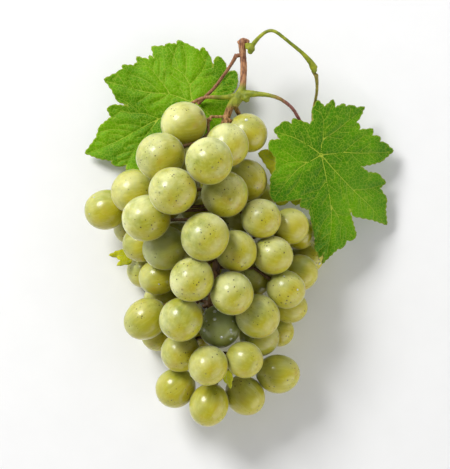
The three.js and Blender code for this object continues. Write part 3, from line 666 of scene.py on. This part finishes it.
def berry_piece(name, group, everyone, material, node):
    """One object that holds the fine berries of one CAD node."""
    vertices, faces, skins, traits, sides = [], [], [], [], []
    for berry in group:
        seed = everyone.index(berry) + 1
        close = [other for other in everyone if other is not berry
                 and np.linalg.norm(other.centre - berry.centre) < NEIGHBOUR_SPAN]
        world, local, tip_angle = berry_surface(berry, seed, close)
        faces += berry_faces(sum(len(part) for part in vertices))
        vertices.append(world)
        skins.append(local * (berry.across / TYPICAL_RADIUS) + PATTERN_SHIFT * seed)
        traits.append(np.tile(berry_traits(berry, seed), (len(world), 1)))
        outward = world - berry.centre
        outward = outward / np.linalg.norm(outward, axis=1)[:, None]
        # Painted glow: the side that faces one fixed direction is painted yellower, as if light shone
        # through it.
        painted_glow = smooth_step(*GLOW_RANGE, outward @ unit(GLOW_SIDE))
        scar = TIP_SCAR * np.exp(-(tip_angle / SCAR_WIDTH) ** 2)
        if node == SCARRED_BERRY:
            beside = smooth_step(*SIDE_SCAR_RANGE, outward @ unit(SCARRED_SIDE))
            scar = np.maximum(scar, SIDE_SCAR * beside)
        # How far this berry turns grey-green: its own tone for some berries, painted shade for the
        # others.
        shade = np.full(len(world), GREYER_AND_SHADED_BERRIES.get(node, 0.0))
        sides.append(np.stack([painted_glow, shade, scar], axis=1))
    piece = new_object(name, np.vstack(vertices), faces, material, node)
    add_attribute(piece, "skin", np.vstack(skins))
    add_attribute(piece, "traits", np.vstack(traits))
    add_attribute(piece, "sides", np.vstack(sides))
    return piece


def drops_on(piece, berry, count, pick):
    """Places, directions and sizes of water drops on the upper side of a berry."""
    skin = surface_tree(piece.data)
    found = []
    for _ in range(count):
        direction = Vector((pick.uniform(-DROP_SPREAD, DROP_SPREAD),
                            pick.uniform(-DROP_SPREAD, DROP_SPREAD),
                            pick.uniform(*DROP_LIFT))).normalized()
        start = Vector(berry.centre) + WELL_OUTSIDE * direction
        place, normal, _, _ = skin.ray_cast(start, -direction)
        found.append((place, normal, pick.uniform(*DROP_RADIUS)))
    return found


def make_drops(drops, material):
    """Low domes of water that sink a little into the skin."""
    shape = bmesh.new()
    for place, normal, radius in drops:
        turn = normal.to_track_quat("Z", "Y").to_matrix().to_4x4()
        flat = Matrix.Diagonal((1, 1, DROP_FLATNESS, 1))
        bmesh.ops.create_uvsphere(shape, u_segments=DROP_SEGMENTS, v_segments=DROP_RINGS, radius=radius,
                                  matrix=Matrix.Translation(place) @ turn @ flat)
    mesh = bpy.data.meshes.new("water_drops")
    shape.to_mesh(mesh)
    shape.free()
    mesh.shade_smooth()
    mesh.materials.append(material)
    piece = bpy.data.objects.new("water_drops", mesh)
    bpy.context.collection.objects.link(piece)
    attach(piece, "root")


def make_berries(material, water):
    """A fine piece for every CAD node of berries, and the drops on the wet ones."""
    tree = node_tree("stalk")
    singles = sorted(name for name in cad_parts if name.startswith("berry_"))
    clusters = sorted(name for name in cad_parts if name.startswith("back_cluster_"))
    groups = {name: [fitted_berry(points_of(name), tree)] for name in singles}
    groups.update({name: cluster_berries(name, tree) for name in clusters})
    everyone = [berry for group in groups.values() for berry in group]
    pick = np.random.default_rng(DROP_SEED)
    drops = []
    for name, group in groups.items():
        label = name.replace("berry", "grape").replace("back_cluster", "back_grapes")
        piece = berry_piece(label, group, everyone, material, name)
        if name in WET_BERRIES:
            drops += drops_on(piece, group[0], WET_BERRIES[name], pick)
    make_drops(drops, water)


# ---------- stalk, shoot and leaf stalks ----------

def bridge(name, neighbour, radius):
    """A closed bar across the narrow gap between two CAD stems, sunk into both."""
    tree = node_tree(name)
    pairs = [(tree.find(place), place) for place in points_of(neighbour)]
    (near, _, _), far = min(pairs, key=lambda pair: pair[0][2])
    far = Vector(far)
    line = (far - near).normalized() * BRIDGE_SINK
    return near - line, far + line, radius


def with_bars(mesh, bars):
    """A copy of the mesh with the closed bars added, for the voxels to join."""
    shape = bmesh.new()
    shape.from_mesh(mesh)
    for start, end, radius in bars:
        line = end - start
        turn = line.to_track_quat("Z", "Y").to_matrix().to_4x4()
        place = Matrix.Translation(start.lerp(end, 0.5)) @ turn
        bmesh.ops.create_cone(shape, cap_ends=True, segments=BRIDGE_SIDES, radius1=radius,
                              radius2=radius, depth=line.length, matrix=place)
    copy = bpy.data.meshes.new(mesh.name + "_bars")
    shape.to_mesh(copy)
    shape.free()
    return copy


def remeshed(name, material, bars=()):
    """A fine, softened copy of a CAD stem."""
    piece = bpy.data.objects.new(name + "_fine", with_bars(node_mesh(name), bars))
    bpy.context.collection.objects.link(piece)
    piece.data.materials.clear()
    voxels = piece.modifiers.new("voxels", "REMESH")
    voxels.mode = "VOXEL"
    voxels.voxel_size = STEM_GRAIN
    voxels.adaptivity = 0
    soft = piece.modifiers.new("soft", "SMOOTH")
    soft.factor = 0.5
    soft.iterations = SOFTENING_ROUNDS
    evaluated = piece.evaluated_get(bpy.context.evaluated_depsgraph_get())
    fine = bpy.data.meshes.new_from_object(evaluated)
    piece.modifiers.clear()
    piece.data = fine
    fine.materials.clear()
    fine.materials.append(material)
    fine.shade_smooth()
    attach(piece, "root")
    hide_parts(name)
    return piece


def roughen(piece, places, depth):
    """Moves each vertex along its normal by long, narrow ridges of the given depth."""
    normals = np.array([tuple(v.normal) for v in piece.data.vertices])
    scaled = places * [RIDGES_ACROSS, RIDGES_ALONG, RIDGES_ACROSS]
    ridges = np.array([noise.fractal(Vector(p), 0.6, 2.0, 3) for p in scaled])
    moved = places + normals * (depth * ridges)[:, None]
    piece.data.vertices.foreach_set("co", moved.ravel())
    piece.data.update()


def make_stalk(material):
    """The stalk: woody above and below its green joint, red at the end of the right arm."""
    stalk = remeshed("stalk", material)
    places = vertex_places(stalk.data)
    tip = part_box("stalk")[1][1]
    from_joint = places - np.array([0.0, tip - JOINT_BELOW_TIP, JOINT_HEIGHT])
    across = from_joint[:, 0]
    along = from_joint[:, 1]
    cane = smooth_step(*CANE_TURNS_WOODY, along)
    axis = AXIS_WOOD * smooth_step(*AXIS_TURNS_WOODY, along)
    left = smooth_step(*LEFT_ARM_TURNS_WOODY, across) * smooth_step(*LEFT_ARM_ENDS, along)
    right = smooth_step(*RIGHT_ARM_TURNS_RED, across)
    woody = np.clip(cane + axis + LEFT_ARM_WOOD * left, 0, 1)
    red = np.clip(right + LEFT_ARM_RED * left, 0, 1)
    shaded = smooth_step(*SHADE_DEEPENS, along)
    roughen(stalk, places, BARK_DEPTH * (GREEN_ROUGHNESS + woody))
    add_attribute(stalk, "wood", np.stack([woody, red, shaded], axis=1))


def make_shoot(name, neighbour, thickness, wood, flush, material):
    """A shoot or leaf stalk, joined by a bar to the stem that it grows from."""
    piece = remeshed(name, material, [bridge(name, neighbour, thickness)])
    places = vertex_places(piece.data)
    roughen(piece, places, SHOOT_DEPTH)
    add_attribute(piece, "wood", np.tile([wood, flush, 0.0], (len(places), 1)))


def make_stems(material):
    """All stems. Each shoot's numbers are its joining bar's radius and how woody and
    how red it is."""
    make_stalk(material)
    make_shoot("shoot", "stalk", 1.5 * MM, 0.0, 0.0, material)
    make_shoot("right_leaf_stalk", "shoot", 0.9 * MM, 0.35, 0.0, material)
    make_shoot("left_leaf_stalk", "stalk", 1.0 * MM, 0.6, 0.7, material)


# ---------- leaves ----------

def leaf_outline(name):
    """The leaf's edge seen from above, anticlockwise, from its upright facets."""
    mesh = node_mesh(name)
    links = {}
    for facet in mesh.polygons:
        if abs(facet.normal.z) < UPRIGHT:
            spots = {tuple(round(c, 6) for c in mesh.vertices[i].co[:2]) for i in facet.vertices}
            if len(spots) == 2:
                first, second = spots
                links.setdefault(first, set()).add(second)
                links.setdefault(second, set()).add(first)
    start = min(links)
    loop = [start]
    step = min(links[start])
    while step != start:
        loop.append(step)
        step = next(spot for spot in links[step] if spot != loop[-2])
    loop = [Vector(spot) for spot in loop]
    if sum(a.cross(b) for a, b in zip(loop, loop[1:] + loop[:1])) < 0:
        loop.reverse()
    return loop


def resampled(line, spacing):
    """The same broken line with a point at least every spacing."""
    dense = []
    for start, end in zip(line, line[1:]):
        count = max(1, math.ceil((end - start).length / spacing))
        dense += [start.lerp(end, i / count) for i in range(count)]
    return dense + [line[-1]]


def curved(points, spacing):
    """A smooth line through a few points."""
    spots = [Vector((*p, 0)) for p in points]
    line = []
    for i, (start, end) in enumerate(zip(spots, spots[1:])):
        before = spots[max(i - 1, 0)]
        after = spots[min(i + 2, len(spots) - 1)]
        handle = (end - start).length / 3
        lead = start + (end - before).normalized() * handle
        tail = end - (after - start).normalized() * handle
        count = max(2, math.ceil(3 * handle / spacing))
        line += geometry.interpolate_bezier(start, lead, tail, end, count)[:-1]
    return [Vector(p[:2]) for p in line + [spots[-1]]]


def main_veins(lines, growth=1.0):
    """Smooth main veins in metres."""
    return [[spot * growth * MM for spot in curved(points, VEIN_STEP)] for points in lines]


def inside(loop, spot):
    """Whether a spot lies within a closed loop: a line to its right crosses it an odd
    number of times."""
    within = False
    for a, b in zip(loop, loop[1:] + loop[:1]):
        if (a.y > spot.y) != (b.y > spot.y):
            crossing = a.x + (spot.y - a.y) / (b.y - a.y) * (b.x - a.x)
            within ^= spot.x < crossing
    return within


def tree_of(spots):
    """A search tree over places seen from above."""
    tree = KDTree(len(spots))
    for number, spot in enumerate(spots):
        tree.insert((spot.x, spot.y, 0), number)
    tree.balance()
    return tree


def nearest(tree, spot):
    """The number of the tree's place nearest to a spot, and its distance."""
    return tree.find((spot.x, spot.y, 0))[1:]


def vein_cell(spot):
    return (math.floor(spot.x / VEIN_CLEARANCE), math.floor(spot.y / VEIN_CLEARANCE))


def is_crowded(crowded, spot):
    """Whether an earlier side vein already runs through this place or right beside it."""
    column, row = vein_cell(spot)
    return any((column + i, row + j) in crowded for i in (-1, 0, 1) for j in (-1, 0, 1))


def side_vein(start, heading, bend, is_free):
    """One bent side vein that grows as long as its next place is free."""
    spot = start.copy()
    vein = [spot]
    while len(vein) < SIDE_VEIN_POINTS[1]:
        spot = spot + VEIN_STRIDE * heading
        if not is_free(spot, len(vein) * VEIN_STRIDE):
            break
        vein.append(spot)
        heading.rotate(Matrix.Rotation(bend, 2))
    return vein


def side_veins(mains, loop):
    """Smaller veins that leave each main vein in turn to both sides and stop halfway
    to the next one or just inside the edge."""
    owners = [number for number, line in enumerate(mains) for _ in line]
    tree = tree_of([spot for line in mains for spot in line])
    rim = tree_of(resampled(loop + loop[:1], RIM_SPACING))
    crowded = set()
    veins = []
    for number, line in enumerate(mains):
        def is_free(spot, length, number=number):
            found, gap = nearest(tree, spot)
            taken = owners[found] != number and gap < RIVAL_SHARE * length
            at_rim = nearest(rim, spot)[1] < RIM_CLEARANCE
            return not (taken or at_rim or is_crowded(crowded, spot)) and inside(loop, spot)

        walked = 0.0
        for before, spot, after in zip(line[1:], line[2:], line[3:]):
            walked += (spot - before).length
            if walked < SIDE_VEIN_SPACING:
                continue
            walked = 0.0
            for side in (-1, 1):
                heading = (after - spot).normalized()
                heading.rotate(Matrix.Rotation(side * SIDE_VEIN_ANGLE, 2))
                vein = side_vein(spot, heading, -side * SIDE_VEIN_BEND, is_free)
                if len(vein) >= SIDE_VEIN_POINTS[0]:
                    veins.append(vein)
                    crowded.update(vein_cell(place) for place in vein)
    return veins


def toothed(loop):
    """The leaf's edge with small pointed teeth along each side of its large ones."""
    rim = []
    for start, end in zip(loop, loop[1:] + loop[:1]):
        side = end - start
        outward = Vector((side.y, -side.x)).normalized()
        teeth = max(1, round(side.length / TOOTH_PITCH))
        for i in range(POINTS_PER_TOOTH * teeth):
            share = i / (POINTS_PER_TOOTH * teeth)
            height = 1 - abs(2 * (share * teeth % 1) - 1)
            rim.append(start + share * side + TOOTH_DEPTH * height * outward)
    return rim


def inner_points(loop, rim, veins):
    """Points for the blade: along the veins, and a staggered grid between them."""
    spots = [spot for line in veins for spot in line if inside(loop, spot)]
    low_x, low_y = (min(spot[axis] for spot in loop) for axis in (0, 1))
    high_x, high_y = (max(spot[axis] for spot in loop) for axis in (0, 1))
    taken = tree_of(rim + spots)
    for row in range(math.ceil((high_y - low_y) / LEAF_GRAIN)):
        for column in range(math.ceil((high_x - low_x) / LEAF_GRAIN)):
            x = low_x + (column + 0.5 * (row % 2)) * LEAF_GRAIN
            spot = Vector((x, low_y + row * LEAF_GRAIN))
            clear = nearest(taken, spot)[1] > GRID_CLEARANCE
            if clear and inside(rim, spot):
                spots.append(spot)
    return spots


def top_of(solid, spot):
    """The place on a CAD leaf's upper face above a spot, or nothing beside the leaf."""
    return solid.ray_cast(Vector((spot.x, spot.y, 1.0)), Vector((0, 0, -1)))[0]


def border_places(solid, loop):
    """Places on the upper face a little inside the edge."""
    places = []
    for start, end in zip(loop, loop[1:] + loop[:1]):
        side = end - start
        inward = BORDER_STEP * Vector((-side.y, side.x)).normalized()
        places += [top_of(solid, spot + inward) for spot in resampled([start, end], BORDER_STEP)]
    return [place for place in places if place]


def leaf_heights(node, loop, spots):
    """The height of the CAD leaf at each spot. A spot just outside the leaf takes the
    height just inside its edge."""
    solid = surface_tree(node_mesh(node))
    borders = border_places(solid, loop)
    border_tree = tree_of(borders)
    return [(top_of(solid, spot) or borders[nearest(border_tree, spot)[0]]).z for spot in spots]


def vein_widths(mains):
    """Half the width of the main veins at each of their points: they taper to the rim,
    and those that leave another main vein start thinner."""
    widths = []
    for line in mains:
        start = MAIN_VEIN if line[0] == mains[0][0] else BRANCH_SHARE * MAIN_VEIN
        widths += [start * max(THINNEST, 1 - TAPER * i / len(line)) for i in range(len(line))]
    return widths


def bell(distance, width):
    """Falls softly from 1 at no distance to nearly 0 beyond twice the width."""
    return math.exp(-(distance / width) ** 2)


def blade_waves(spot):
    """Broad and fine waves of the blade."""
    broad = noise.noise(Vector((spot.x, spot.y, 0)) * BROAD_WAVES)
    return broad + FINE_WAVE_SHARE * noise.noise(Vector((spot.x, spot.y, 3)) * FINE_WAVES)


def rim_faces(triangles, size):
    """Quads that join the top to the underside along every open edge."""
    directed = {(t[i], t[(i + 1) % 3]) for t in triangles for i in range(3)}
    return [(b, a, a + size, b + size) for a, b in directed if (b, a) not in directed]


def leaf_piece(name, node, mains, material, quilt, crumple):
    """A fine leaf: flat triangles lifted to the CAD leaf's height, sunk along the
    veins, arched between them, and given a little thickness."""
    loop = leaf_outline(node)
    sides = side_veins(mains, loop)
    rim = toothed(loop)
    edges = [(i, (i + 1) % len(rim)) for i in range(len(rim))]
    places = rim + inner_points(loop, rim, mains + sides)
    flat, _, triangles, _, _, _ = geometry.delaunay_2d_cdt(places, edges, [], 1, DOUBLE_POINT)

    main_tree = tree_of([spot for line in mains for spot in line])
    side_tree = tree_of([spot for line in sides for spot in line] or mains[0])
    rim_tree = tree_of(rim)
    widths = vein_widths(mains)
    top, under, distances = [], [], []
    for spot, height in zip(flat, leaf_heights(node, loop, flat)):
        number, to_main = nearest(main_tree, spot)
        to_side = nearest(side_tree, spot)[1]
        to_rim = nearest(rim_tree, spot)[1]
        arch = 1 - bell(min(to_main, SIDE_QUILT * to_side), QUILT_WIDTH)
        groove = bell(to_main, MAIN_GROOVE) + SIDE_GROOVE_SHARE * bell(to_side, SIDE_GROOVE)
        z = height + quilt * (arch - GROOVE_DEPTH * groove) + crumple * blade_waves(spot)
        z = max(z, LEAF_SHEET)
        top.append((spot.x, spot.y, z))
        under.append((spot.x, spot.y, max(z - LEAF_SHEET * (1 + RIB_SHEET * groove), 0)))
        distances.append((to_main / widths[number], to_side / SIDE_VEIN, to_rim / MM))

    size = len(flat)
    faces = [tuple(t) for t in triangles]
    faces += [tuple(size + i for i in reversed(t)) for t in triangles]
    faces += rim_faces(triangles, size)
    piece = new_object(name, top + under, faces, material, node)
    add_attribute(piece, "veins", distances + distances)
    add_attribute(piece, "below", [0.0] * size + [1.0] * size)


def make_leaves():
    """The five leaves: name, node, veins, material, quilting and crumpling."""
    sunny = leaf_material("left_leaf_blade", SUNNY_GREENS)
    # The right leaf takes the darker greens of painted shade.
    deep = leaf_material("right_leaf_blade", SHADED_LEAF_GREENS)
    young = leaf_material("young_leaf_blade", YOUNG_GREENS)
    leaf_piece("left_blade", "left_leaf", main_veins(LEFT_VEINS, LEAF_GROWTH),
               sunny, 0.7 * MM, 0.45 * MM)
    leaf_piece("right_blade", "right_leaf", main_veins(RIGHT_VEINS, LEAF_GROWTH),
               deep, 0.7 * MM, 0.5 * MM)
    leaf_piece("tucked_blade", "tucked_leaf", main_veins(TUCKED_VEINS),
               young, 0.35 * MM, 0.5 * MM)
    leaf_piece("side_blade", "side_leaflet", main_veins(LEAFLET_VEINS),
               young, 0.15 * MM, 0.2 * MM)
    leaf_piece("bract_blade", "tip_bract", main_veins(BRACT_VEINS),
               young, 0.15 * MM, 0.2 * MM)


# ---------- floor, light and camera ----------

def make_floor():
    bpy.ops.mesh.primitive_plane_add(size=FLOOR_SIZE)
    floor = bpy.context.object
    floor.name = "floor"
    floor.location.z = -FLOOR_DROP
    n = Nodes("pale_floor")
    n.set(Base_Color=n.mix(n.noise(n.place(), scale=60.0), *FLOOR_GREYS), Roughness=0.9)
    floor.data.materials.append(n.material)


def make_world():
    """Bright walls all round that fade to a dim ceiling."""
    world = bpy.data.worlds.new("studio")
    world.use_nodes = True
    tree = world.node_tree
    split = tree.nodes.new("ShaderNodeSeparateXYZ")
    coordinates = tree.nodes.new("ShaderNodeTexCoord")
    tree.links.new(coordinates.outputs["Generated"], split.inputs["Vector"])
    fall = tree.nodes.new("ShaderNodeMapRange")
    fall.inputs["From Max"].default_value = WALL_TOP
    fall.inputs["To Min"].default_value = WALL_LIGHT
    fall.inputs["To Max"].default_value = CEILING_LIGHT
    tree.links.new(split.outputs["Z"], fall.inputs["Value"])
    background = tree.nodes["Background"]
    background.inputs["Color"].default_value = WHITE
    tree.links.new(fall.outputs["Result"], background.inputs["Strength"])
    bpy.context.scene.world = world


def make_lamp(name, place, size, power, shine):
    lamp = bpy.data.lights.new(name, "AREA")
    lamp.size = size
    lamp.energy = power
    lamp.specular_factor = shine
    holder = bpy.data.objects.new(name, lamp)
    holder.location = place
    aim = Vector((0, 0, BUNCH_HEIGHT)) - Vector(place)
    holder.rotation_euler = aim.to_track_quat("-Z", "Y").to_euler()
    bpy.context.collection.objects.link(holder)


def make_camera():
    """A long lens that looks straight down."""
    eye = bpy.data.cameras.new("camera")
    eye.sensor_fit = "HORIZONTAL"
    eye.sensor_width = FILM_WIDTH
    eye.lens = FILM_WIDTH * CAMERA_DISTANCE / VIEW_WIDTH
    camera = bpy.data.objects.new("camera", eye)
    camera.location = (*VIEW_MIDDLE, BUNCH_HEIGHT + CAMERA_DISTANCE)
    bpy.context.collection.objects.link(camera)
    bpy.context.scene.camera = camera
    bpy.context.scene.view_settings.view_transform = "Standard"


# ---------- the whole picture ----------

make_berries(berry_material(), drop_material())
make_stems(stem_material())
make_leaves()
make_floor()
make_world()
for lamp in LAMPS:
    make_lamp(*lamp)
make_camera()
